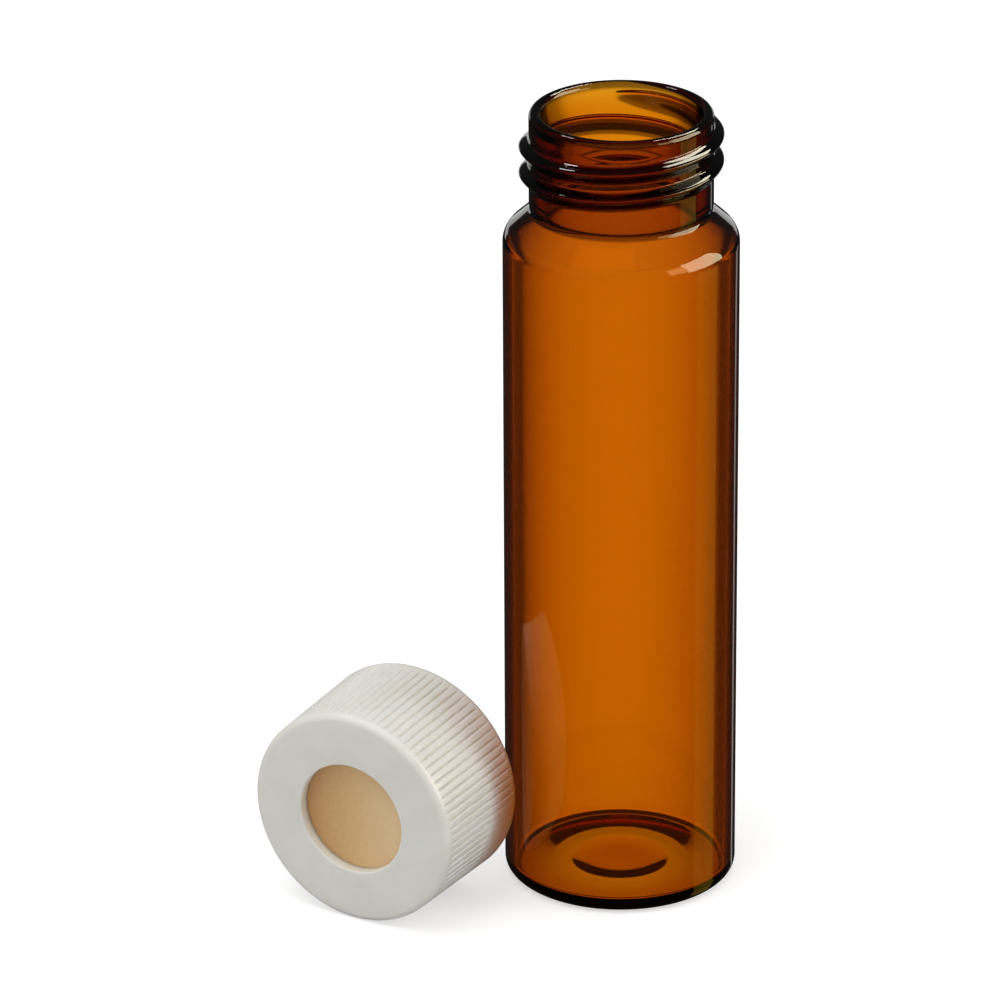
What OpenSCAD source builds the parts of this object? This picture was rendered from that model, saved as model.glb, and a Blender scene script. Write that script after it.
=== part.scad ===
// Glass sample vial with its open-top screw cap and septum.
// The vial stands on its base. The cap is off and lies on its side on the same surface,
// with the septum still pressed up against the inside of its top.
// Millimetres. Origin: centre of the vial's standing ring. +Z is up.

/* [Vial] */
// Outside diameter of the glass body
body_d = 27.5; // [23:0.1:36]
// Height from the standing ring to the top of the lip
vial_h = 96.3; // [70:0.1:130]
// Thickness of the body wall
wall_t = 1.25; // [0.9:0.05:1.8]
// Radius of the heel, between the wall and the standing ring
heel_r = 1.6; // [1:0.1:2.5]
// Height of the floor inside, above the standing ring
floor_h = 1.5; // [1.3:0.1:3]
// Radius of the corner inside, between the wall and the floor
inner_heel_r = 0.6; // [0.4:0.1:2]
// Width of the standing ring
stand_w = 0.25; // [0.2:0.05:1]
// Diameter of the ring-shaped hollow under the base, at its middle
ring_d = 14; // [12:0.1:15]
// Width of the flat at the top of that hollow
ring_land = 1.7; // [0.5:0.1:2]
// Radius of the edges of that flat
ring_edge_r = 1.5; // [0.5:0.1:2]
// Slope of the base just outside the hollow's top
ring_slope = 10.5; // [8:0.5:14]
// Slope of the base where it meets the standing ring
foot_slope = 6; // [3:0.5:7]
// Diameter of the flat middle under the base
middle_d = 5.6; // [3:0.1:7]
// Height of that flat above the standing ring
middle_h = 0.04; // [0.02:0.01:0.1]
// Radius where the body turns into the shoulder
shoulder_r = 2.5; // [2:0.1:4]
// Slope of the shoulder from the horizontal
shoulder_slope = 42; // [30:1:55]

/* [Neck finish] */
// Height from the foot of the neck to the top of the lip
neck_h = 11.6; // [10:0.1:16]
// Outside diameter of the neck between the threads
neck_d = 21.4; // [17:0.1:26]
// Diameter of the mouth
mouth_d = 18.5; // [14:0.1:20]
// Diameter of the bore below the mouth's flare
bore_d = 17.6; // [13:0.1:18.5]
// Height of that flare
flare_h = 2.2; // [1:0.1:4]
// Radius of the hollow fillet between neck and shoulder
neck_fillet_r = 0.9; // [0.5:0.1:1.5]
// Depth that this fillet is pinched into the neck
neck_pinch = 0.2; // [0.1:0.1:0.6]
// Height of the thread above the neck
thread_h = 1.15; // [0.8:0.05:1.4]
// Width of the thread where it meets the neck
thread_w = 2.6; // [1.8:0.1:2.8]
// Height of the thread's crest above the middle of its width
thread_lean = 0.45; // [0:0.05:0.5]
// Rise of the thread in one turn, 8 turns to the inch
thread_pitch = 3.175; // [2.5:0.005:4]
// Turns of thread
thread_turns = 1.9; // [1.2:0.1:2.2]
// Depth of the thread's middle below the lip, where it starts
thread_drop = 2.3; // [1.9:0.1:2.6]
// Direction in which the thread starts, from +X
thread_start = 126; // [0:1:359]

/* [Cap] */
// Height of the cap
cap_h = 14.9; // [12:0.1:20]
// Thickness of the cap's top
cap_top_t = 1.5; // [1:0.1:2]
// Thickness of the skirt under the ribs, at the open end
cap_wall = 1.35; // [1:0.05:2]
// Draft of the skirt, which is wider at the open end
cap_draft = 1.6; // [0.5:0.1:2]
// Radius of the edge between top and skirt
cap_edge_r = 0.8; // [0.4:0.1:1]
// Diameter of the hole in the top
cap_hole_d = 13.8; // [10:0.1:17]
// Clearance between the neck's thread and the inside of the skirt
thread_clearance = 0.25; // [0.1:0.05:0.5]
// Turns of thread inside the cap
cap_thread_turns = 1.4; // [1:0.1:1.6]
// Space between the septum and the upper edge of that thread
cap_thread_gap = 0.3; // [0.1:0.1:0.6]
// Width and depth of the chamfer inside the open end
cap_lead_in = 0.4; // [0.2:0.1:0.6]
// Number of grip ribs
ribs = 84; // [40:4:120]
// Height of a rib
rib_h = 0.25; // [0.1:0.05:0.4]
// Width of the gap between two ribs
rib_gap = 0.35; // [0.2:0.05:0.4]
// Height of the plain rim at the open end
rim_h = 0.9; // [0.5:0.1:2]

/* [Septum] */
// Thickness of the septum
septum_t = 3.2; // [1:0.1:3.5]
// Clearance between the septum and the inside of the skirt
septum_clearance = 1.1; // [0.5:0.1:1.5]
// Radius of the septum's edges
septum_edge_r = 0.3; // [0.1:0.1:0.4]

/* [Where the cap lies] */
// Clear distance between the cap's rim and the vial's body
cap_gap = 1.75; // [0.5:0.05:10]
// Direction from the vial's axis to the nearest point of the cap's rim, from +X
cap_bearing = 247; // [200:1:300]

/* [Hidden] */

AMBER = "#a35a10";
WHITE = "#e6e5df";
TAN = "#c7a57a";

$fn = 96;
EPS = 0.01;

body_r = body_d / 2;
neck_r = neck_d / 2;
mouth_r = mouth_d / 2;
bore_r = bore_d / 2;
lip_r = (neck_r - mouth_r) / 2;
pinch_r = neck_r - neck_pinch;

// Unit vector that stands on the shoulder's slope
slope_out = [sin(shoulder_slope), cos(shoulder_slope)];
// Unit vector up along it, towards the neck
slope_up = [-slope_out[1], slope_out[0]];

neck_foot_z = vial_h - neck_h;
// The underside of the base, out from its flat middle: a bowl that rises to the hollow's flat
// top, then a long shallow fall to the standing ring
stand_in_r = body_r - heel_r - stand_w;
land_in_r = ring_d / 2 - ring_land / 2;
land_out_r = ring_d / 2 + ring_land / 2;
fall_start_r = land_out_r + ring_edge_r * sin(ring_slope);
fall_r = (stand_in_r - fall_start_r) / (sin(ring_slope) - sin(foot_slope));
fall_mid = [fall_start_r + fall_r * sin(ring_slope), fall_r * cos(foot_slope)];
land_z = fall_mid[1] - fall_r * cos(ring_slope) + ring_edge_r * (1 - cos(ring_slope));
bowl_run = land_in_r - middle_d / 2;
bowl_slope = 2 * atan((land_z - middle_h) / bowl_run);
bowl_r = bowl_run / sin(bowl_slope) - ring_edge_r;

// Height where the body's straight wall ends, worked down from the foot of the neck
shoulder_z = neck_foot_z
    - shoulder_rise(body_r, shoulder_r, pinch_r, neck_fillet_r);

// Depth that a thread's root is sunk into the wall it stands on
thread_sink = 0.35;

cap_bore_r = neck_r + thread_h + thread_clearance;
cap_open_r = cap_bore_r + cap_wall + rib_h;
// Height where the ribs end and the rounded edge of the top begins
rib_end_z = cap_h - cap_edge_r;
cap_thread_crest_r = neck_r + thread_clearance;
cap_hole_r = cap_hole_d / 2;
septum_r = cap_bore_r - septum_clearance;
septum_seat_z = cap_h - cap_top_t;

// The open rim's nearest point to the vial, and so the middle of the open end
cap_rim_point = (body_r + cap_gap) * [cos(cap_bearing), sin(cap_bearing)];
cap_pos = [cap_rim_point[0] - cap_open_r, cap_rim_point[1], cap_open_r * cos(cap_draft)];

// Length along the slope between a bend and a fillet that are both tangent to it
function slope_run(low_r, bend_r, top_r, fillet_r) =
    (low_r - bend_r * (1 - slope_out[0]) - top_r - fillet_r * (1 - slope_out[0]))
    / slope_out[1];

// Height from the start of the bend to the end of the fillet
function shoulder_rise(low_r, bend_r, top_r, fillet_r) =
    (bend_r + fillet_r) * slope_out[1]
    + slope_run(low_r, bend_r, top_r, fillet_r) * slope_up[1];

// Half section of a tube that narrows from low_r to top_r, from foot_z up to top_z:
// a rounded bend, a straight slope and a hollow fillet
module shoulder_section(low_r, bend_r, top_r, fillet_r, foot_z, top_z) {
    bend_mid = [low_r - bend_r, shoulder_z];
    bend_end = bend_mid + bend_r * slope_out;
    fillet_start = bend_end + slope_run(low_r, bend_r, top_r, fillet_r) * slope_up;
    fillet_mid = fillet_start + fillet_r * slope_out;
    difference() {
        polygon([
            [0, foot_z], [low_r, foot_z], [low_r, shoulder_z], bend_end,
            fillet_start, [top_r, fillet_mid[1]], [top_r, top_z], [0, top_z]
        ]);
        translate(fillet_mid) circle(fillet_r);
    }
    translate(bend_mid) circle(bend_r);
}

// Half section of a round-cornered foot: r wide, from bottom_z up to top_z
module foot_section(r, corner_r, bottom_z, top_z) {
    translate([0, bottom_z]) square([r - corner_r, top_z - bottom_z]);
    translate([0, bottom_z + corner_r]) square([r, top_z - bottom_z - corner_r]);
    translate([r - corner_r, bottom_z + corner_r]) circle(corner_r);
}

// Half section of the hollow under the base, open downwards
module hollow_section() {
    edge_z = land_z - ring_edge_r;
    difference() {
        union() {
            polygon([
                [0, -EPS], [0, middle_h], [middle_d / 2, middle_h],
                [land_in_r, edge_z] + ring_edge_r * [-sin(bowl_slope), cos(bowl_slope)],
                [land_in_r, land_z], [land_out_r, land_z],
                [land_out_r, edge_z] + ring_edge_r * [sin(ring_slope), cos(ring_slope)],
                [stand_in_r, 0], [stand_in_r, -EPS]
            ]);
            for (r = [land_in_r, land_out_r])
                translate([r, edge_z]) circle(ring_edge_r);
        }
        translate([middle_d / 2, middle_h + bowl_r]) circle(bowl_r, $fn = 240);
        translate(fall_mid) circle(fall_r, $fn = 720);
    }
}

// Cross-section of a rounded thread as [out, up] points, from a root sunk into the wall.
// Its crest stands lean above the middle. size runs from 0, where the thread fades out, to 1.
function thread_profile(height, width, lean, size) = [
    for (p = [[-1, -1], [0.05, -0.86], [0.61, -0.43], [0.97, -0.12],
              [0.97, 0.12], [0.61, 0.43], [0.05, 0.86], [-1, 1]])
        [
            p[0] < 0 ? -thread_sink : (p[0] * height + thread_sink) * size - thread_sink,
            (lean + p[1] * (p[1] < 0 ? width / 2 + lean : width / 2 - lean))
                * (0.55 + 0.45 * size)
        ]
];

// Helical ridge on a cylinder of radius base_r, running down clockwise from start_z.
// side is 1 for a ridge outside the cylinder and -1 for one inside it.
// The ridge swells out of the surface and fades back into it over fade degrees.
module thread(base_r, height, width, lean, turns, start_z, side) {
    step = 7.5;
    fade = 35;
    count = ceil(turns * 360 / step);
    sweep = turns * 360;
    rings = [
        for (i = [0:count]) let (
            turned = sweep * i / count,
            size = max(0.04, min(1, turned / fade, (sweep - turned) / fade)),
            profile = thread_profile(height, width, lean, sqrt(size))
        ) [
            for (p = profile) let (r = base_r + side * p[0])
                [r * cos(-turned), r * sin(-turned), start_z - thread_pitch * turned / 360 + side * p[1]]
        ]
    ];
    n = len(rings[0]);
    polyhedron(
        points = [for (ring = rings) each ring],
        faces = [
            [for (k = [0:n - 1]) k],
            for (i = [0:count - 1]) for (k = [0:n - 1]) let (
                a = i * n + k,
                b = i * n + (k + 1) % n
            ) each [[a, a + n, b], [b, a + n, b + n]],
            [for (k = [n - 1:-1:0]) count * n + k]
        ],
        convexity = 8
    );
}

// Body, shoulder, pinched neck, rounded lip and flared mouth in one section
module vial_section() {
    lip_mid = [mouth_r + lip_r, vial_h - lip_r];
    flare_z = vial_h - lip_r - flare_h;
    difference() {
        union() {
            foot_section(body_r, heel_r, 0, shoulder_z);
            shoulder_section(body_r, shoulder_r, pinch_r, neck_fillet_r,
                             heel_r, neck_foot_z + neck_pinch);
            translate([0, neck_foot_z + neck_pinch])
                polygon([[0, 0], [pinch_r, 0], [neck_r, neck_pinch],
                         [neck_r, neck_h - neck_pinch - lip_r], [0, neck_h - neck_pinch - lip_r]]);
            translate(lip_mid) circle(lip_r);
        }
        foot_section(body_r - wall_t, inner_heel_r, floor_h, shoulder_z);
        shoulder_section(body_r - wall_t, shoulder_r - wall_t, bore_r,
                         neck_fillet_r + wall_t, floor_h + inner_heel_r, flare_z + EPS);
        polygon([[0, flare_z], [bore_r, flare_z], [mouth_r, vial_h - lip_r],
                 [mouth_r, vial_h + 1], [0, vial_h + 1]]);
        hollow_section();
    }
}

module vial() {
    color(AMBER) {
        rotate_extrude() vial_section();
        rotate(thread_start)
            thread(neck_r, thread_h, thread_w, thread_lean, thread_turns,
                   vial_h - thread_drop, 1);
    }
}

// Puts the cap's own frame, open end at z = 0 and top at z = cap_h, where the cap lies.
// It lies along one rib, so its axis dips by the draft towards the face, which looks along -Y.
module where_cap_lies() {
    translate(cap_pos) rotate([90 + cap_draft, 0, 0]) children();
}

// Radius of the skirt over the ribs, at height z from the open end
function cap_skirt_r(z) = cap_open_r - z * tan(cap_draft);

// Half section of the cap under its ribs, out from the axis
module cap_body_section() {
    edge_mid = [cap_skirt_r(rib_end_z) - rib_h - cap_edge_r, rib_end_z];
    polygon([[0, 0], [cap_open_r - rib_h, 0], edge_mid + [cap_edge_r, 0],
             [edge_mid[0], cap_h], [0, cap_h]]);
    translate(edge_mid) circle(cap_edge_r);
}

// Half section of the layer that the ribs and the rim stand out in. Its upper end slopes at 45
// degrees, down to where the rounded edge of the top begins.
module rib_section() {
    slope_z = rib_end_z - rib_h;
    inner_r = cap_skirt_r(cap_h) - 2 * rib_h;
    polygon([[inner_r, 0], [cap_open_r, 0], [cap_skirt_r(slope_z), slope_z],
             [cap_skirt_r(rib_end_z) - rib_h, rib_end_z], [inner_r, rib_end_z]]);
}

// Wedges that widen from the axis and leave a gap of rib_gap between them at the open end
module rib_wedges() {
    pitch = 360 / ribs;
    half = (pitch - rib_gap / cap_open_r * 180 / PI) / 2;
    linear_extrude(cap_h)
        for (i = [0:ribs - 1])
            rotate(i * pitch)
                polygon([[0, 0], 2 * cap_open_r * [cos(half), -sin(half)],
                         2 * cap_open_r * [cos(half), sin(half)]]);
}

module cap() {
    color(WHITE) where_cap_lies() {
        difference() {
            union() {
                rotate_extrude() cap_body_section();
                intersection() {
                    rotate_extrude() rib_section();
                    union() {
                        translate([0, 0, rim_h]) rib_wedges();
                        cylinder(r = 2 * cap_open_r, h = rim_h);
                    }
                }
            }
            translate([0, 0, -1]) cylinder(r = cap_bore_r, h = septum_seat_z + 1);
            cylinder(r1 = cap_bore_r + cap_lead_in, r2 = cap_bore_r, h = cap_lead_in);
            cylinder(r = cap_hole_r, h = cap_h + 1);
        }
        thread(cap_bore_r, cap_bore_r - cap_thread_crest_r, thread_w, 0, cap_thread_turns,
               septum_seat_z - septum_t - cap_thread_gap - thread_w / 2, -1);
    }
}

module septum() {
    color(TAN) where_cap_lies() translate([0, 0, septum_seat_z - septum_t]) rotate_extrude() {
        square([septum_r - septum_edge_r, septum_t]);
        translate([0, septum_edge_r]) square([septum_r, septum_t - 2 * septum_edge_r]);
        for (z = [septum_edge_r, septum_t - septum_edge_r])
            translate([septum_r - septum_edge_r, z]) circle(septum_edge_r);
    }
}

vial();
cap();
septum();
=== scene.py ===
"""Amber glass screw-neck sample vial, with its open-top cap and septum lying beside it.

Each CAD piece is replaced by a finer mesh of the same size: the vial's glass with its formed
thread, the cap with its grip ribs, and the septum. The vial stands on the frame's Z axis, and the
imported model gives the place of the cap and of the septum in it.
Sizes are in millimetres and named angles in degrees. MM turns a size into Blender's metres.
"""
import math

import bpy
import numpy as np
from mathutils import Matrix, Vector


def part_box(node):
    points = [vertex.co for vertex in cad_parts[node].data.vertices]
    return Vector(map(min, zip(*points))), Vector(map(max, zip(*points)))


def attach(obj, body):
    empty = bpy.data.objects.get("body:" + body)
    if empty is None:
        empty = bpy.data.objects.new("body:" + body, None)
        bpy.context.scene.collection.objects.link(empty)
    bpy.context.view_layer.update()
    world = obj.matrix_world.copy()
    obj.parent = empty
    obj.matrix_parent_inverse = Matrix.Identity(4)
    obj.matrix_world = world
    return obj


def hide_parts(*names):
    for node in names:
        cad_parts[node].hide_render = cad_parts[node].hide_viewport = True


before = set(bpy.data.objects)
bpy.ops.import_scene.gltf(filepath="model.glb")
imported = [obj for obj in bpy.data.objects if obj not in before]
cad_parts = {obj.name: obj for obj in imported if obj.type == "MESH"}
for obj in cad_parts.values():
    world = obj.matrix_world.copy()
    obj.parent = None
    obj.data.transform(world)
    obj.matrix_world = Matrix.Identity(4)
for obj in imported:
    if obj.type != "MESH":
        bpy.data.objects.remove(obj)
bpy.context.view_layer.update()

MM = 0.001

# Vial: body, heel and base
BODY_R = 13.75
VIAL_H = 96.3
WALL = 1.25
HEEL_R = 1.6
FLOOR_Z = 1.5  # top of the base, inside
INNER_HEEL_R = 0.6
STAND_IN_R = 11.9  # the glass stands on a ring from here out to the heel
FOOT_SLOPE = 6.0  # slope of the underside at that ring
# Vial: the ring-shaped hollow pressed up into the base, and the low disc in its middle
RING_R = 7.0
RING_LAND = 0.85  # half the width of the hollow's flat top
RING_ROUND = 1.5
RING_OUT_SLOPE = 10.5
MIDDLE_R = 2.8
MIDDLE_H = 0.04
# Vial: shoulder and neck finish
SHOULDER_R = 2.5
SHOULDER_SLOPE = 42
FILLET_R = 0.9
NECK_H = 11.6
NECK_R = 10.7
PINCH = 0.2  # how much narrower the neck is at its foot, and the height of that step
MOUTH_R = 9.25
BORE_R = 8.8
FLARE_H = 2.2
LIP_R = (NECK_R - MOUTH_R) / 2
LIP_Z = VIAL_H - LIP_R  # where the lip's rounding starts
NECK_FOOT = VIAL_H - NECK_H
# Thread, formed in the same glass: 8 turns to the inch, right-handed
THREAD_H = 1.15
THREAD_PITCH = 3.175
THREAD_TURNS = 1.9
THREAD_TOP = VIAL_H - 1.85
THREAD_START = 126.0  # azimuth of its upper end
THREAD_FADE = 35.0  # turn over which it grows out of the wall
THREAD_ABOVE = 0.85  # reach of the flanks above and below the crest
THREAD_BELOW = 1.75
THREAD_END_WIDTH = 0.55  # width at its ends, as a share of the full width
ROW_SHIFT = 0.3  # how far the neck's mesh rows move towards the upper flank
ROW_FADE = 1.2

# Cap
CAP_H = 14.9
CAP_TOP_T = 1.5
CAP_WALL = 1.35
CAP_DRAFT = 1.6
CAP_EDGE_R = 0.8
CAP_HOLE_R = 6.9
HOLE_EDGE_R = 0.2
THREAD_CLEARANCE = 0.25
CAP_BORE_R = NECK_R + THREAD_H + THREAD_CLEARANCE
CAP_THREAD_TURNS = 1.4
CAP_THREAD_DROP = 0.3  # from the septum to the thread's upper flank
LEAD_IN = 0.4
SEAT_EDGE = 0.05  # the bore's first mesh row, below the seat's corner
# Cap: grooves between the grip ribs, which stop short of both ends of the skirt
RIBS = 84
RIB_H = 0.25
RIB_GAP = 0.35
RIM_H = 0.9
RIM_CHAMFER = 0.15
GROOVE_STOP = 0.1
GROOVE_RUN_IN = 0.3
GROOVE_RUN_OUT = 0.6
CAP_OPEN_R = CAP_BORE_R + CAP_WALL + RIB_H

# Septum, seated against the inside of the cap's top
SEPTUM_T = 3.2
SEPTUM_R = CAP_BORE_R - 1.1
SEPTUM_EDGE_R = 0.3
SEPTUM_SEAT_Z = CAP_H - CAP_TOP_T

# Meshes: points round each turned piece, rows on the neck, and the innermost ring round the axis
VIAL_AROUND = 270
SEPTUM_AROUND = 96
NECK_ROWS = 160
VIAL_INMOST_R = 0.4
SEPTUM_INMOST_R = 0.3
SAME_POINT = 1e-6  # points closer than this are one


# ------------------------------------------------------------------ outlines and skins

def arc(mid, radius, start, end, steps):
    """Points on an arc about mid, as (out, up), from angle start to angle end."""
    angles = np.radians(np.linspace(start, end, steps + 1))
    return [(mid[0] + radius * math.cos(a), mid[1] + radius * math.sin(a)) for a in angles]


def line(start, end, steps):
    """Points from start to end, both included, in equal steps."""
    return [tuple(p) for p in np.linspace(start, end, steps + 1)]


def joined(*runs):
    """One outline from several runs of points, with points that repeat left out."""
    outline = []
    for point in (p for run in runs for p in run):
        if not outline or math.dist(outline[-1], point) > SAME_POINT:
            outline.append(point)
    return np.array(outline)


def turned(outline, angles):
    """Rings of an outline of (out, up) points turned about the axis, at angles in radians."""
    out = outline[:, 0][:, None]
    up = np.broadcast_to(outline[:, 1][:, None], (len(outline), len(angles)))
    return np.stack([out * np.cos(angles), out * np.sin(angles), up], -1)


def mesh_piece(name, points, faces):
    """A mesh from points in millimetres."""
    mesh = bpy.data.meshes.new(name)
    mesh.from_pydata((np.array(points) * MM).tolist(), [], faces)
    piece = bpy.data.objects.new(name, mesh)
    bpy.context.scene.collection.objects.link(piece)
    return piece


def ring_skin(name, rings, poles=None):
    """A closed, smooth skin over rings of points, an array (ring, point, xyz).

    Rings run up the outside, and points run anticlockwise seen from above. With no poles, the last
    ring is joined to the first. Two poles close a skin that starts and ends on the axis.
    """
    count, around = rings.shape[:2]
    points = rings.reshape(-1, 3)
    k = np.arange(count if poles is None else count - 1)[:, None]
    j = np.arange(around)[None, :]
    low, high = k * around, (k + 1) % count * around
    right = (j + 1) % around
    quads = np.stack([low + j, low + right, high + right, high + j], -1).reshape(-1, 4)
    faces = quads.tolist()
    if poles is not None:
        points = np.vstack([points, poles])
        first, last = len(points) - 2, len(points) - 1
        top = (count - 1) * around
        faces += [(first, (i + 1) % around, i) for i in range(around)]
        faces += [(last, top + i, top + (i + 1) % around) for i in range(around)]
    piece = mesh_piece(name, points, faces)
    piece.data.polygons.foreach_set("use_smooth", [True] * len(faces))
    piece.data.update()
    return piece


# ------------------------------------------------------------------ thread

def ridge(azimuth, up, start, top, turns):
    """How far a thread stands out, from 0 to 1, at an azimuth and a height.

    The thread's crest runs down clockwise from its start, and fades in and out of the wall.
    """
    sweep = turns * 360
    height = np.zeros(np.broadcast(azimuth, up).shape)
    for turn in range(math.ceil(turns)):
        along = (start - azimuth) % 360 + 360 * turn
        fade = np.clip(np.minimum(along, sweep - along) / THREAD_FADE, 0, 1)
        fade = np.sqrt(fade * fade * (3 - 2 * fade))
        rise = up - top + THREAD_PITCH * along / 360
        width = THREAD_END_WIDTH + (1 - THREAD_END_WIDTH) * fade
        off = np.maximum(rise / THREAD_ABOVE, -rise / THREAD_BELOW) / width
        height = np.maximum(height, fade * (0.5 + 0.5 * np.cos(math.pi * np.clip(off, 0, 1))))
    return height


def closer_on_thread(azimuth, up):
    """Moves heights on the neck so that the mesh's rows lie closest on the thread's upper flank."""
    low_end = NECK_FOOT + 2 * PINCH
    reach = np.clip((up - low_end) / ROW_FADE, 0, 1) * np.clip((LIP_Z - up) / ROW_FADE, 0, 1)
    crest = THREAD_TOP - THREAD_PITCH * ((THREAD_START - azimuth) % 360) / 360
    turn = 2 * math.pi * (up - crest - THREAD_ABOVE / 2) / THREAD_PITCH
    return up - ROW_SHIFT * reach * np.sin(turn)


# ------------------------------------------------------------------ vial

def shoulder_points(low_r, bend_r, top_r, fillet_r, start_z):
    """A rounded bend, a straight slope and a hollow fillet, up from start_z."""
    slope = math.radians(SHOULDER_SLOPE)
    out = np.array([math.sin(slope), math.cos(slope)])
    up = np.array([-out[1], out[0]])
    run = (low_r - top_r - (bend_r + fillet_r) * (1 - out[0])) / out[1]
    bend_mid = np.array([low_r - bend_r, start_z])
    fillet_mid = bend_mid + (bend_r + fillet_r) * out + run * up
    tilt = 90 - SHOULDER_SLOPE
    return arc(bend_mid, bend_r, 0, tilt, 10) + arc(fillet_mid, fillet_r, 180 + tilt, 180, 8)


SHOULDER_RISE = shoulder_points(BODY_R, SHOULDER_R, NECK_R - PINCH, FILLET_R, 0)[-1][1]
SHOULDER_Z = NECK_FOOT - SHOULDER_RISE


def base_underside():
    """The underside, from near the axis: a low disc, the ring-shaped hollow, the standing ring."""
    out_tilt, foot_tilt = math.radians(RING_OUT_SLOPE), math.radians(FOOT_SLOPE)
    start = RING_R + RING_LAND + RING_ROUND * math.sin(out_tilt)
    fall_r = (STAND_IN_R - start) / (math.sin(out_tilt) - math.sin(foot_tilt))
    fall_mid = (start + fall_r * math.sin(out_tilt), fall_r * math.cos(foot_tilt))
    land_z = fall_mid[1] - fall_r * math.cos(out_tilt) + RING_ROUND * (1 - math.cos(out_tilt))
    bowl_run = RING_R - RING_LAND - MIDDLE_R
    bowl_tilt = 2 * math.atan((land_z - MIDDLE_H) / bowl_run)
    bowl_r = bowl_run / math.sin(bowl_tilt) - RING_ROUND
    bowl_deg = math.degrees(bowl_tilt)
    return joined(
        line((VIAL_INMOST_R, MIDDLE_H), (MIDDLE_R, MIDDLE_H), 6),
        arc((MIDDLE_R, MIDDLE_H + bowl_r), bowl_r, -90, bowl_deg - 90, 10),
        arc((RING_R - RING_LAND, land_z - RING_ROUND), RING_ROUND, 90 + bowl_deg, 90, 6),
        arc((RING_R + RING_LAND, land_z - RING_ROUND), RING_ROUND, 90, 90 - RING_OUT_SLOPE, 6),
        arc(fall_mid, fall_r, -90 - RING_OUT_SLOPE, -90 - FOOT_SLOPE, 12),
        [(STAND_IN_R, 0.0)],
    )


def vial_outline():
    """Half section of the glass: from the middle of the underside, up the outside, over the lip
    and down the inside to the middle of the base. Also how many points are on the outside."""
    inner_r = BODY_R - WALL
    outside = joined(
        base_underside(),
        arc((BODY_R - HEEL_R, HEEL_R), HEEL_R, -90, 0, 20),
        line((BODY_R, HEEL_R), (BODY_R, SHOULDER_Z), 14),
        shoulder_points(BODY_R, SHOULDER_R, NECK_R - PINCH, FILLET_R, SHOULDER_Z),
        line((NECK_R - PINCH, NECK_FOOT + PINCH), (NECK_R, NECK_FOOT + 2 * PINCH), 4),
        line((NECK_R, NECK_FOOT + 2 * PINCH), (NECK_R, LIP_Z), NECK_ROWS),
    )
    inside = joined(
        arc((MOUTH_R + LIP_R, LIP_Z), LIP_R, 0, 180, 18),
        line((MOUTH_R, LIP_Z), (BORE_R, LIP_Z - FLARE_H), 4),
        shoulder_points(inner_r, SHOULDER_R - WALL, BORE_R, FILLET_R + WALL, SHOULDER_Z)[::-1],
        line((inner_r, SHOULDER_Z), (inner_r, FLOOR_Z + INNER_HEEL_R), 14),
        arc((inner_r - INNER_HEEL_R, FLOOR_Z + INNER_HEEL_R), INNER_HEEL_R, 0, -90, 12),
        line((inner_r - INNER_HEEL_R, FLOOR_Z), (VIAL_INMOST_R, FLOOR_Z), 12),
    )
    return joined(outside, inside), len(outside)


def make_vial():
    """The glass, turned from its outline, with the thread standing out from the neck."""
    outline, outside_count = vial_outline()
    angles = np.linspace(0, 2 * math.pi, VIAL_AROUND, endpoint=False)
    rings = turned(outline, angles)
    azimuth = np.degrees(angles)[None, :]
    up = outline[:, 1][:, None]
    on_neck = (np.arange(len(outline)) < outside_count) & (outline[:, 1] > NECK_FOOT + PINCH)
    up = np.where(on_neck[:, None], closer_on_thread(azimuth, up), up)
    stand = THREAD_H * ridge(azimuth, up, THREAD_START, THREAD_TOP, THREAD_TURNS)
    stand = np.where(on_neck[:, None], stand, 0)
    rings[..., 0] += stand * np.cos(angles)
    rings[..., 1] += stand * np.sin(angles)
    rings[..., 2] = up
    poles = np.array([[0, 0, MIDDLE_H], [0, 0, FLOOR_Z]])
    return ring_skin("vial_glass", rings, poles)


# ------------------------------------------------------------------ cap and septum

def cap_place():
    """Where the cap lies, read from the CAD cap's box: on its skirt, its face along -Y."""
    low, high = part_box("cap")
    draft = math.radians(CAP_DRAFT)
    middle_x = (low.x + high.x) / 2
    open_y = high.y - CAP_OPEN_R * MM * math.sin(draft)
    middle_z = CAP_OPEN_R * MM * math.cos(draft)
    tip = Matrix.Rotation(math.pi / 2 + draft, 4, "X")
    return Matrix.Translation((middle_x, open_y, middle_z)) @ tip


def skirt_point(up):
    """The skirt's outside at a height above the open end, narrowing with the mould's draft."""
    return CAP_OPEN_R - up * math.tan(math.radians(CAP_DRAFT)), up


def groove_steps():
    """Azimuths of the mesh's points round the cap, and how deep a grip groove is at each.

    One pitch is the groove's sides and floor, then the land up to the next groove.
    """
    pitch = 360 / RIBS
    gap = math.degrees(RIB_GAP / CAP_OPEN_R)
    groove = np.array([-0.5, -0.3, -0.15, 0.15, 0.3, 0.5]) * gap
    land = np.linspace(gap / 2, pitch - gap / 2, 6)[1:-1]
    depth = np.concatenate([[0, 0.45, 1, 1, 0.45, 0], np.zeros(len(land))]) * RIB_H
    steps = np.concatenate([groove, land])
    azimuth = (np.arange(RIBS)[:, None] * pitch + steps[None, :] - 90 + pitch / 2).ravel()
    return azimuth, np.tile(depth, RIBS)


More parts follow.
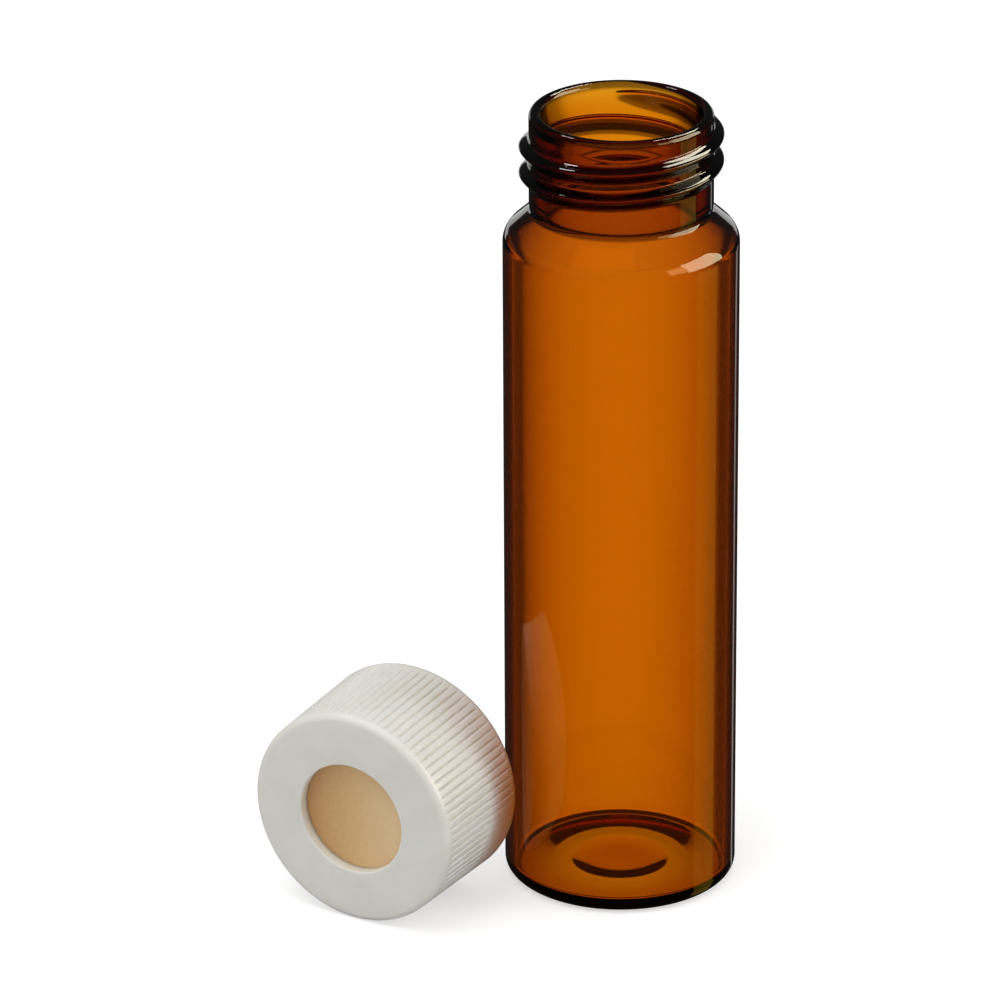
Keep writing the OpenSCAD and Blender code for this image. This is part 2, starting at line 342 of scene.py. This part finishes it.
def make_cap():
    """The cap in its own frame, with the open end at height 0, then laid where the CAD cap lies.

    Grooves are cut into the skirt's outside, and the thread stands out into the bore.
    """
    edge_z = CAP_H - CAP_EDGE_R
    edge_x = skirt_point(edge_z)[0] - CAP_EDGE_R
    hole_mid = (CAP_HOLE_R + HOLE_EDGE_R, CAP_H - HOLE_EDGE_R)
    skirt = joined(
        line((CAP_OPEN_R - RIM_CHAMFER, 0), skirt_point(RIM_CHAMFER), 2),
        line(skirt_point(RIM_CHAMFER), skirt_point(edge_z), 26),
    )
    top = joined(
        arc((edge_x, edge_z), CAP_EDGE_R, 0, 90, 8),
        line((edge_x, CAP_H), (hole_mid[0], CAP_H), 6),
        arc(hole_mid, HOLE_EDGE_R, 90, 180, 5),
        line((CAP_HOLE_R, hole_mid[1]), (CAP_HOLE_R, SEPTUM_SEAT_Z), 2),
        line((CAP_HOLE_R, SEPTUM_SEAT_Z), (CAP_BORE_R, SEPTUM_SEAT_Z), 3),
    )
    bore = joined(
        line((CAP_BORE_R, SEPTUM_SEAT_Z - SEAT_EDGE), (CAP_BORE_R, LEAD_IN), 40),
        line((CAP_BORE_R, LEAD_IN), (CAP_BORE_R + LEAD_IN, 0), 2),
    )
    outline = joined(skirt, top, bore)
    azimuth, depth = groove_steps()
    angles = np.radians(azimuth)
    rings = turned(outline, angles)
    up = outline[:, 1][:, None]
    row = np.arange(len(outline))[:, None]
    grow = np.clip((up - RIM_H) / GROOVE_RUN_IN, 0, 1)
    grow = grow * np.clip((edge_z - GROOVE_STOP - up) / GROOVE_RUN_OUT, 0, 1)
    inward = np.where(row < len(skirt), depth[None, :] * grow, 0)
    thread_top = SEPTUM_SEAT_Z - SEPTUM_T - CAP_THREAD_DROP - THREAD_ABOVE
    stand = THREAD_H * ridge(azimuth[None, :], up, 0, thread_top, CAP_THREAD_TURNS)
    inward = inward + np.where(row >= len(outline) - len(bore), stand, 0)
    rings[..., 0] -= inward * np.cos(angles)
    rings[..., 1] -= inward * np.sin(angles)
    piece = ring_skin("cap_moulding", rings)
    piece.data.transform(cap_place())
    return piece


def make_septum():
    """The disc in the cap's own frame, against the inside of its top, then laid with the cap."""
    low = SEPTUM_SEAT_Z - SEPTUM_T
    mid_r = SEPTUM_R - SEPTUM_EDGE_R
    outline = joined(
        line((SEPTUM_INMOST_R, low), (mid_r, low), 10),
        arc((mid_r, low + SEPTUM_EDGE_R), SEPTUM_EDGE_R, -90, 0, 4),
        arc((mid_r, SEPTUM_SEAT_Z - SEPTUM_EDGE_R), SEPTUM_EDGE_R, 0, 90, 4),
        line((mid_r, SEPTUM_SEAT_Z), (SEPTUM_INMOST_R, SEPTUM_SEAT_Z), 16),
    )
    angles = np.linspace(0, 2 * math.pi, SEPTUM_AROUND, endpoint=False)
    poles = np.array([[0, 0, low], [0, 0, SEPTUM_SEAT_Z]])
    piece = ring_skin("septum_disc", turned(outline, angles), poles)
    piece.data.transform(cap_place())
    return piece


# ------------------------------------------------------------------ finishes

def linear(hex_colour):
    """An sRGB hex colour as linear red, green, blue and alpha."""
    parts = [int(hex_colour[i:i + 2], 16) / 255 for i in (1, 3, 5)]
    return tuple(c / 12.92 if c <= 0.04045 else ((c + 0.055) / 1.055) ** 2.4 for c in parts) + (1,)


def new_finish(name):
    """A material with an empty node tree, and that tree."""
    material = bpy.data.materials.new(name)
    material.use_nodes = True
    material.node_tree.nodes.clear()
    return material, material.node_tree


def add(tree, kind, inputs=None, stops=(), **settings):
    """Adds a node with its settings and links.

    Inputs give a socket a plain value or a source, and a node stands for its first output. Stops
    are a colour ramp's, each a place from 0 to 1 and a hex colour or a share of grey.
    """
    node = tree.nodes.new(kind)
    for name, value in settings.items():
        setattr(node, name, value)
    for socket, source in (inputs or {}).items():
        if isinstance(source, bpy.types.Node):
            source = source.outputs[0]
        if isinstance(source, bpy.types.NodeSocket):
            tree.links.new(source, node.inputs[socket])
        else:
            node.inputs[socket].default_value = source
    if stops:
        elements = node.color_ramp.elements
        while len(elements) < len(stops):
            elements.new(0.5)
        for element, (place, level) in zip(elements, stops):
            element.position = place
            element.color = linear(level) if isinstance(level, str) else (level, level, level, 1)
    return node


# Noise of low detail keeps nearly all its values between these
NOISE_LOW = 0.3
NOISE_HIGH = 0.7


def grain(tree, size, stretch=(1, 1, 1), detail=2.0):
    """Noise in the piece's own space, with grains of a size in millimetres, stretched by axis."""
    place = add(tree, "ShaderNodeTexCoord")
    scaled = add(tree, "ShaderNodeVectorMath",
                 {0: place.outputs["Object"], 1: [1 / s for s in stretch]}, operation="MULTIPLY")
    return add(tree, "ShaderNodeTexNoise",
               {"Vector": scaled, "Scale": 1 / (size * MM), "Detail": detail}).outputs["Fac"]


def patches(tree, size, low, high, detail=2.0):
    """Patches of a size in millimetres, whose value goes from low to high."""
    return add(tree, "ShaderNodeMapRange",
               {"Value": grain(tree, size, detail=detail), "From Min": NOISE_LOW,
                "From Max": NOISE_HIGH, "To Min": low, "To Max": high})


# Amber glass: what is let through at a turn away from the eye. It is painted shade, darker towards
# the outline than the long way through the glass makes it
PAINTED_EDGE_SHADE_BY_TURN = [(0.08, 0.94), (0.22, 0.82), (0.33, 0.72), (0.45, 0.55), (0.55, 0.38),
                 (0.60, 0.2), (0.64, 0.03), (0.7, 0.008), (1.0, 0.004)]
# Amber glass: painted shade, the share of that which each part of the formed neck keeps
THREAD_KEEPS = 0.01
FAR_THREAD_KEEPS = 0.4
LIP_KEEPS = 0.1
NECK_SIDE_KEEPS = 0.35
NEAR_NECK_KEEPS = 0.4
BODY_MIRROR = "#FFD860"  # colour of the mirror images on the straight wall


def painted_neck_shade(tree, height, facing):
    """Painted shade: the share of light that is left where the neck was formed, and 1 elsewhere.

    The thread's upper flank and the lip carry painted shade, darker than their thick glass makes
    them. The neck's sides get painted shade as they turn away from the eye, and its near wall is
    painted darker than its far one.
    """
    place = add(tree, "ShaderNodeTexCoord")
    level = add(tree, "ShaderNodeVectorMath", {0: place.outputs["Object"], 1: (1, 1, 0)},
                operation="MULTIPLY")
    from_axis = add(tree, "ShaderNodeVectorMath", {0: level}, operation="LENGTH").outputs["Value"]
    slope = add(tree, "ShaderNodeSeparateXYZ", {0: place.outputs["Normal"]}).outputs["Z"]
    behind = add(tree, "ShaderNodeNewGeometry").outputs["Backfacing"]
    # Each zone goes smoothly from 0 to 1 between two values
    zone = {name: add(tree, "ShaderNodeMapRange",
                      {"Value": source, "From Min": start, "From Max": end},
                      interpolation_type="SMOOTHSTEP")
            for name, source, start, end in (
                ("neck", height, (NECK_FOOT - 0.1) * MM, (NECK_FOOT + 0.3) * MM),
                ("thread", from_axis, (NECK_R + 0.1) * MM, (NECK_R + 0.4) * MM),
                ("upward", slope, 0.0, 0.4),
                ("lip", height, (VIAL_H - 1.1) * MM, (VIAL_H - 0.5) * MM),
                ("outside", from_axis, (NECK_R - 0.4) * MM, (NECK_R - 0.3) * MM),
                ("side", facing, 0.22, 0.42))}
    zone["near"] = add(tree, "ShaderNodeMath", {0: zone["outside"], 1: behind},
                       operation="SUBTRACT", use_clamp=True)
    thread_painted_shade = add(tree, "ShaderNodeMapRange", {"Value": behind, "To Min": THREAD_KEEPS,
                                                    "To Max": FAR_THREAD_KEEPS})
    # Each zone's painted shade multiplies the share of light that is left
    left = 1.0
    for names, share in ((("neck", "thread", "upward"), thread_painted_shade), (("lip",), LIP_KEEPS),
                         (("neck", "side"), NECK_SIDE_KEEPS), (("neck", "near"), NEAR_NECK_KEEPS)):
        where = zone[names[0]]
        for name in names[1:]:
            where = add(tree, "ShaderNodeMath", {0: where, 1: zone[name]}, operation="MULTIPLY")
        keeps = add(tree, "ShaderNodeMapRange", {"Value": where, "To Min": 1, "To Max": share})
        left = add(tree, "ShaderNodeMath", {0: left, 1: keeps}, operation="MULTIPLY")
    return left


def amber_glass():
    """Amber borosilicate, drawn as tube and fire-polished: clear and glossy, brown where thick.

    Faint draw lines about 0.9 mm apart run up the wall, and a slow waviness of 5 mm bends what is
    seen through it.
    """
    material, tree = new_finish("amber_borosilicate_drawn_fire_polished")
    place = add(tree, "ShaderNodeTexCoord")
    height = add(tree, "ShaderNodeSeparateXYZ", {0: place.outputs["Object"]}).outputs["Z"]
    facing = add(tree, "ShaderNodeLayerWeight", {"Blend": 0.5}).outputs["Facing"]
    # Painted shade: the glass's colour darkens towards its outline and on the formed neck
    through = add(tree, "ShaderNodeValToRGB", {"Fac": facing}, stops=PAINTED_EDGE_SHADE_BY_TURN)
    tint = add(tree, "ShaderNodeVectorMath",
               {0: through, "Scale": painted_neck_shade(tree, height, facing)}, operation="SCALE")
    waviness = add(tree, "ShaderNodeBump", {"Height": grain(tree, 5.0, (1, 1, 4)),
                                            "Strength": 0.12, "Distance": 0.08 * MM})
    drawn = add(tree, "ShaderNodeBump", {"Height": grain(tree, 0.9, (1, 1, 60)),
                                         "Normal": waviness, "Strength": 0.1,
                                         "Distance": 0.03 * MM})
    above_body = add(tree, "ShaderNodeMapRange",
                     {"Value": height, "From Min": (SHOULDER_Z - 2.0) * MM,
                      "From Max": SHOULDER_Z * MM}, interpolation_type="SMOOTHSTEP")
    mirror = add(tree, "ShaderNodeValToRGB", {"Fac": above_body},
                 stops=[(0.0, BODY_MIRROR), (1.0, "#FFFFFF")])
    glass = add(tree, "ShaderNodeBsdfPrincipled",
                {"Base Color": tint, "Normal": drawn, "Specular Tint": mirror,
                 "Roughness": 0.0, "IOR": 1.51, "Transmission Weight": 1.0})
    # The density is per metre, so that a wall of 1.25 mm is a clear amber
    soak = add(tree, "ShaderNodeVolumeAbsorption", {"Color": linear("#F8E259"), "Density": 3350})
    add(tree, "ShaderNodeOutputMaterial", {"Surface": glass, "Volume": soak})
    return material


def white_polypropylene():
    """Injection-moulded polypropylene: satin, warm white, with a little light sunk under its skin.

    Its shade drifts in clouds of 4 mm and its gloss in patches of 1.5 mm. The mould's spark-eroded
    texture is drawn 0.35 mm wide, coarser than the real one, so that it shows.
    """
    material, tree = new_finish("white_polypropylene_injection_moulded")
    cloud = add(tree, "ShaderNodeValToRGB", {"Fac": grain(tree, 4.0)},
                stops=[(NOISE_LOW, "#E6E4DC"), (NOISE_HIGH, "#EBEAE4")])
    gloss = patches(tree, 1.5, 0.34, 0.44, detail=4.0)
    texture = add(tree, "ShaderNodeBump", {"Height": grain(tree, 0.35), "Strength": 0.25,
                                           "Distance": 0.02 * MM})
    plastic = add(tree, "ShaderNodeBsdfPrincipled",
                  {"Base Color": cloud, "Roughness": gloss, "Normal": texture, "IOR": 1.49,
                   "Subsurface Weight": 0.35, "Subsurface Scale": 1.5 * MM,
                   "Subsurface Radius": (1.0, 0.8, 0.6)})
    add(tree, "ShaderNodeOutputMaterial", {"Surface": plastic})
    return material


def tan_septum():
    """Natural rubber sheet, die-cut: matt tan, with painted shade that browns it towards one side of
    the disc, where the rim of the cap's hole shades it.

    Its filler mottles it in specks of 0.5 mm. The powder on its skin is drawn in grains of
    0.12 mm, coarser than the real ones, so that it shows.
    """
    material, tree = new_finish("tan_rubber_sheet_die_cut")
    low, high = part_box("septum")
    place = add(tree, "ShaderNodeTexCoord")
    spot = add(tree, "ShaderNodeSeparateXYZ", {0: place.outputs["Object"]})
    # Painted shade: the disc darkens towards -X, where the hole's rim shades it; the mottle is its own
    painted_shade_across = add(tree, "ShaderNodeMapRange",
                 {"Value": spot.outputs["X"], "From Min": low.x, "From Max": high.x})
    mottle = patches(tree, 0.5, -0.03, 0.03, detail=4.0)
    mottle_and_painted_shade = add(tree, "ShaderNodeMath", {0: painted_shade_across, 1: mottle}, operation="ADD")
    shade = add(tree, "ShaderNodeValToRGB", {"Fac": mottle_and_painted_shade},
                stops=[(0.24, "#CF9F6A"), (0.5, "#E2BC86"), (0.74, "#F0D0A2")])
    powder = add(tree, "ShaderNodeBump", {"Height": grain(tree, 0.12), "Strength": 0.2,
                                          "Distance": 0.02 * MM})
    gloss = patches(tree, 0.6, 0.48, 0.62)
    rubber = add(tree, "ShaderNodeBsdfPrincipled",
                 {"Base Color": shade, "Roughness": gloss, "Normal": powder, "IOR": 1.45})
    add(tree, "ShaderNodeOutputMaterial", {"Surface": rubber})
    return material


# ------------------------------------------------------------------ studio

WHITE = "#FFFFFF"
# Camera, aimed at a point between the vial and the cap
CAMERA_AZIMUTH = 30.83
CAMERA_ELEVATION = 23.59
CAMERA_ROLL = -0.294
CAMERA_DISTANCE = 865
CAMERA_LENS = 265.2
CAMERA_SENSOR = 36
CAMERA_CLIP = 10
AIM = Vector((-12.17, -7.26, 47.57))
# World: how strongly it lights matt surfaces, shows in mirrors, and shows overhead through glass
AMBIENT = 0.69
MIRRORED = 0.04
OVERHEAD = 0.06
OVERHEAD_FADE = (-0.05, 0.0)  # heights of a direction, level being 0, between which it darkens
# Floor: half its width, how far it lies under the object, its colour and its glow
FLOOR_HALF = 3000
FLOOR_DROP = 0.02
FLOOR_COLOUR = "#CBCBCB"
FLOOR_LIFT = 0.58
FLOOR_MIRRORED = 0.02
# Floor through glass: its colour, and its painted glow round the vial, under it and under its middle
FLOOR_BEHIND_GLASS = "#AAAAAA"
BACKLIGHT = 0.76
UNDERLIGHT = 1.15
MIDDLE_LIGHT = 1.45
# The share of that glow left far off, and in the painted contact shadow where the glass touches the
# floor
FAR_KEEPS = 0.05
CONTACT_SHADOW_KEEPS = 0.02
# Distances from the vial's axis between which each of these begins or ends
MIDDLE_FADE = (5.0, 8.5)
FAR_FADE = (220, 360)
STAND_FADE = (STAND_IN_R, STAND_IN_R + 0.3)
HEEL_FADE = (BODY_R - 0.5, BODY_R - 0.1)
BODY_FADE = (BODY_R, BODY_R + 1)
# How far lamps and cards stand from the point that the camera is aimed at, and how far a card
# that lies on the table reaches from the vial
STUDIO_REACH = 500
TABLE_CARD_REACH = 260
# Cards that stand round the object and glow to mirrors only: azimuths from the camera's,
# elevations, colour and strength
STANDING_CARDS = {
    "right_window": ((65, 108), (1, 39), "#FFF0C4", 7.0),
    "window_blind": ((46, 65), (6, 32), "#FFD48A", 4.0),
    "high_window": ((122, 142), (40, 68), "#FFF6DC", 12.0),
    "left_spot": ((-134, -122), (54, 62), WHITE, 12.0),
    "back_window": ((150, 210), (-17, 6), WHITE, 1.0),
}
# The flag, a sheet for painted shade and amber light, stands beside the cap's skirt, in front of the
# vial
FLAG_ENDS = ((-5.4, -13.0), (-4.6, -18.6))
FLAG_LOW = 3
FLAG_HIGH = 75


def toward(azimuth, elevation):
    """Unit vector from the object to a place at an azimuth, right of -Y, and an elevation."""
    a, e = math.radians(azimuth), math.radians(elevation)
    return Vector((math.sin(a) * math.cos(e), -math.cos(a) * math.cos(e), math.sin(e)))


def set_camera():
    """A long lens, level apart from a slight roll, with no shift and no depth of field."""
    data = bpy.data.cameras.new("camera")
    data.lens = CAMERA_LENS
    data.sensor_width = CAMERA_SENSOR
    data.clip_start = CAMERA_CLIP * MM
    camera = bpy.data.objects.new("camera", data)
    away = toward(CAMERA_AZIMUTH, CAMERA_ELEVATION)
    camera.location = (AIM + CAMERA_DISTANCE * away) * MM
    roll = Matrix.Rotation(math.radians(CAMERA_ROLL), 3, "Z").to_quaternion()
    camera.rotation_euler = (away.to_track_quat("Z", "Y") @ roll).to_euler()
    bpy.context.scene.collection.objects.link(camera)
    bpy.context.scene.camera = camera


def add_softbox(name, azimuth, elevation, size, power):
    """A square lamp, its azimuth counted from the camera's, that no mirror shows."""
    data = bpy.data.lights.new(name, "AREA")
    data.size = size * MM
    data.energy = power
    lamp = bpy.data.objects.new(name, data)
    away = toward(CAMERA_AZIMUTH + azimuth, elevation)
    lamp.location = (AIM + STUDIO_REACH * away) * MM
    lamp.rotation_euler = away.to_track_quat("Z", "Y").to_euler()
    lamp.visible_glossy = False
    bpy.context.scene.collection.objects.link(lamp)


def add_sheet(name, corners, material, hidden_from=()):
    """A flat sheet of the studio, with corners in millimetres, and the rays that it is hidden from."""
    sheet = mesh_piece(name, corners, [tuple(range(len(corners)))])
    sheet.data.materials.append(material)
    for kind in hidden_from:
        setattr(sheet, "visible_" + kind, False)


def add_card(name, corners, colour, strength):
    """A glowing card that only mirror-like surfaces pick up."""
    material, tree = new_finish(name)
    glow = add(tree, "ShaderNodeEmission", {"Color": linear(colour), "Strength": strength})
    add(tree, "ShaderNodeOutputMaterial", {"Surface": glow})
    add_sheet(name, corners, material,
              ("camera", "diffuse", "transmission", "shadow", "volume_scatter"))


def standing_card(name, azimuths, elevations, colour, strength):
    """A card that fills a range of azimuths from the camera's and of elevations."""
    corners = []
    for azimuth, elevation in ((0, 0), (1, 0), (1, 1), (0, 1)):
        away = toward(CAMERA_AZIMUTH + azimuths[azimuth], 0)
        up = math.tan(math.radians(elevations[elevation]))
        corners.append(AIM + STUDIO_REACH * (away + Vector((0, 0, up))))
    add_card(name, corners, colour, strength)


def table_card(name, facings, colour, strength):
    """A card flat on the table, which the vial's wall mirrors between two of its own azimuths."""
    walls = [BODY_R * toward(CAMERA_AZIMUTH + a, 0) for a in facings]
    ends = [w + TABLE_CARD_REACH * toward(CAMERA_AZIMUTH + 2 * a, 0)
            for w, a in zip(walls, facings)]
    add_card(name, [walls[0], walls[1], ends[1], ends[0]], colour, strength)


def add_flag(name, colour):
    """An upright matt card that only matt surfaces feel. A dark sheet with an amber glow, it puts
    painted shade and painted amber light on the cap's skirt beside the vial, in place of the
    shade and light that the glass throws there."""
    material, tree = new_finish(name)
    board = add(tree, "ShaderNodeBsdfDiffuse", {"Color": linear(colour)})
    glow = add(tree, "ShaderNodeEmission", {"Color": linear(colour), "Strength": 1.0})
    both = add(tree, "ShaderNodeAddShader", {0: board, 1: glow})
    add(tree, "ShaderNodeOutputMaterial", {"Surface": both})
    near, far = FLAG_ENDS
    corners = [(*near, FLAG_LOW), (*far, FLAG_LOW), (*far, FLAG_HIGH), (*near, FLAG_HIGH)]
    add_sheet(name, corners, material, ("camera", "glossy", "transmission", "volume_scatter"))


def seen_in_mirror(tree, path):
    """1 on rays that a surface mirrors. A ray that glass bends counts as glossy too: 0 on those."""
    return add(tree, "ShaderNodeMath",
               {0: path.outputs["Is Glossy Ray"], 1: path.outputs["Is Transmission Ray"]},
               operation="SUBTRACT", use_clamp=True)


def set_world():
    """A white studio: white behind the glass, dim to mirrors, and dark overhead through glass."""
    world = bpy.data.worlds.new("white_studio")
    bpy.context.scene.world = world
    world.use_nodes = True
    tree = world.node_tree
    tree.nodes.clear()
    path = add(tree, "ShaderNodeLightPath")
    where = add(tree, "ShaderNodeTexCoord")
    height = add(tree, "ShaderNodeSeparateXYZ", {0: where.outputs["Generated"]})
    overhead = add(tree, "ShaderNodeMapRange",
                   {"Value": height.outputs["Z"], "From Min": OVERHEAD_FADE[0],
                    "From Max": OVERHEAD_FADE[1], "To Min": 1.0, "To Max": OVERHEAD},
                   interpolation_type="SMOOTHSTEP")
    mirror = add(tree, "ShaderNodeMapRange",
                 {"Value": seen_in_mirror(tree, path), "To Min": AMBIENT, "To Max": MIRRORED})
    glass = add(tree, "ShaderNodeMapRange",
                {"Value": path.outputs["Is Transmission Ray"], "To Min": mirror,
                 "To Max": overhead})
    level = add(tree, "ShaderNodeMath", {0: glass, 1: path.outputs["Is Camera Ray"]},
                operation="MAXIMUM")
    sky = add(tree, "ShaderNodeBackground", {"Color": linear(WHITE), "Strength": level})
    add(tree, "ShaderNodeOutputWorld", {"Surface": sky})


def backlight_level(tree):
    """How brightly the floor glows through glass, by the distance from the vial's axis.

    It is a painted pool of light: brightest under the vial's middle, plain round the vial and dark
    far off. Between the standing ring and the heel a painted contact shadow darkens it, where the
    glass touches the table.
    """
    spot = add(tree, "ShaderNodeNewGeometry")
    reach = add(tree, "ShaderNodeVectorMath", {0: spot.outputs["Position"]},
                operation="LENGTH").outputs["Value"]
    under, far, past_stand, short_of_heel = (
        add(tree, "ShaderNodeMapRange",
            {"Value": reach, "From Min": start * MM, "From Max": end * MM,
             "To Min": before, "To Max": after}, interpolation_type="SMOOTHSTEP")
        for (start, end), before, after in (
            (MIDDLE_FADE, MIDDLE_LIGHT, UNDERLIGHT), (FAR_FADE, 1, FAR_KEEPS),
            (STAND_FADE, 0, 1), (HEEL_FADE, 1, 0)))
    near = add(tree, "ShaderNodeMapRange",
               {"Value": reach, "From Min": BODY_FADE[0] * MM, "From Max": BODY_FADE[1] * MM,
                "To Min": under, "To Max": BACKLIGHT})
    touching = add(tree, "ShaderNodeMath", {0: past_stand, 1: short_of_heel},
                   operation="MULTIPLY")
    # Painted contact shadow, seen through the glass
    painted_contact_shadow = add(tree, "ShaderNodeMapRange",
                  {"Value": touching, "To Min": 1.0, "To Max": CONTACT_SHADOW_KEEPS})
    level = add(tree, "ShaderNodeMath", {0: near, 1: far}, operation="MULTIPLY")
    return add(tree, "ShaderNodeMath", {0: level, 1: painted_contact_shadow}, operation="MULTIPLY")


def add_floor():
    """A pale table that takes the object's shadow, is dark to mirrors, and glows painted light through
    glass.
    """
    material, tree = new_finish("pale_floor")
    path = add(tree, "ShaderNodeLightPath")
    pale = add(tree, "ShaderNodeBsdfDiffuse", {"Color": linear(FLOOR_COLOUR)})
    lift = add(tree, "ShaderNodeMath", {0: path.outputs["Is Camera Ray"], 1: FLOOR_LIFT},
               operation="MULTIPLY")
    glow = add(tree, "ShaderNodeEmission", {"Color": linear(WHITE), "Strength": lift})
    table = add(tree, "ShaderNodeAddShader", {0: pale, 1: glow})
    dim = add(tree, "ShaderNodeEmission", {"Color": linear(WHITE), "Strength": FLOOR_MIRRORED})
    direct = add(tree, "ShaderNodeMixShader", {"Fac": seen_in_mirror(tree, path), 1: table, 2: dim})
    backlight = add(tree, "ShaderNodeEmission",
                    {"Color": linear(WHITE), "Strength": backlight_level(tree)})
    soft = add(tree, "ShaderNodeBsdfDiffuse", {"Color": linear(FLOOR_BEHIND_GLASS)})
    through = add(tree, "ShaderNodeAddShader", {0: backlight, 1: soft})
    floor = add(tree, "ShaderNodeMixShader",
                {"Fac": path.outputs["Is Transmission Ray"], 1: direct, 2: through})
    add(tree, "ShaderNodeOutputMaterial", {"Surface": floor})
    corners = [(x * FLOOR_HALF, y * FLOOR_HALF, -FLOOR_DROP)
               for x, y in ((-1, -1), (1, -1), (1, 1), (-1, 1))]
    add_sheet("floor", corners, material)


# ------------------------------------------------------------------ the object in its studio

def dress(piece, node, finish):
    """Gives a piece its finish, and puts it in place of its CAD node."""
    piece.data.materials.append(finish)
    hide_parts(node)
    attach(piece, "root")


dress(make_vial(), "vial", amber_glass())
dress(make_cap(), "cap", white_polypropylene())
dress(make_septum(), "septum", tan_septum())

set_camera()
set_world()
add_floor()
add_softbox("top_softbox", -40, 70, size=350, power=0.95)
add_softbox("right_softbox", 75, 25, size=300, power=0.38)
for card, settings in STANDING_CARDS.items():
    standing_card(card, *settings)
# A dark sheet that glows amber: painted shade and painted amber light on the cap's skirt
add_flag("amber_shade_and_glow_flag", "#7E430A")
table_card("bright_table", (39, 53), "#F6DA60", 0.65)
table_card("table_edge", (74.2, 76.6), WHITE, 0.6)
bpy.context.scene.view_settings.view_transform = "Standard"
